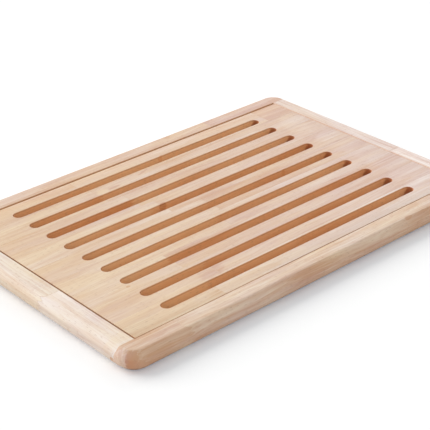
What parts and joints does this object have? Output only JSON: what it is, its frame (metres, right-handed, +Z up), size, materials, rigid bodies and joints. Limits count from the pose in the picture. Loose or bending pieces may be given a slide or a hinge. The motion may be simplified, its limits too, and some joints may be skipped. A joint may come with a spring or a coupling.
{
  "type": "bread board",
  "caption": "Rectangular wooden bread board with a shallow crumb tray and a loose slatted cutting insert that lifts out, so that crumbs fall through its slots.",
  "frame": {"origin": "middle of the underside, on the surface that the board stands on", "axes": "+X along the board's length and its slots, to the right in the picture's sense of the long front edge; +Y across to the back; +Z up out of the cutting face"},
  "size_m": [0.475, 0.322, 0.02],
  "materials": {
    "rubberwood_pale": "oiled, satin",
    "rubberwood_mid": "oiled, satin",
    "rubberwood_warm": "oiled, satin",
    "rubberwood_dark": "oiled, satin"
  },
  "bodies": {
    "tray": {"front_rail_left": "rubberwood_warm", "front_rail_right": "rubberwood_mid", "back_rail_left": "rubberwood_mid", "back_rail_right": "rubberwood_warm", "left_rail_front": "rubberwood_pale", "left_rail_back": "rubberwood_mid", "right_rail_front": "rubberwood_pale", "right_rail_back": "rubberwood_mid", "floor_stave_1": "rubberwood_mid", "floor_stave_2": "rubberwood_pale", "floor_stave_3": "rubberwood_warm", "floor_stave_4": "rubberwood_mid", "floor_stave_5": "rubberwood_mid", "floor_stave_6": "rubberwood_pale", "floor_stave_7": "rubberwood_warm", "floor_stave_8": "rubberwood_mid", "floor_stave_9": "rubberwood_mid"},
    "insert": {"insert_stave_1_left": "rubberwood_mid", "insert_stave_1_right": "rubberwood_mid", "insert_stave_1_end": "rubberwood_dark", "insert_stave_2_left": "rubberwood_mid", "insert_stave_2_right": "rubberwood_mid", "insert_stave_3_left": "rubberwood_warm", "insert_stave_3_right": "rubberwood_mid", "insert_stave_4_left": "rubberwood_pale", "insert_stave_4_right": "rubberwood_pale", "insert_stave_5_left": "rubberwood_mid", "insert_stave_5_right": "rubberwood_mid", "insert_stave_6_left": "rubberwood_warm", "insert_stave_6_right": "rubberwood_pale", "insert_stave_7_left": "rubberwood_mid", "insert_stave_7_right": "rubberwood_mid", "insert_stave_8_left": "rubberwood_warm", "insert_stave_8_right": "rubberwood_mid", "insert_stave_9_left": "rubberwood_mid", "insert_stave_9_right": "rubberwood_pale"}
  },
  "joints": [
    {"name": "insert_lift", "type": "slide", "parent": "tray", "child": "insert", "axis": [0, 0, 1], "range_m": [0, 0.04]}
  ]
}
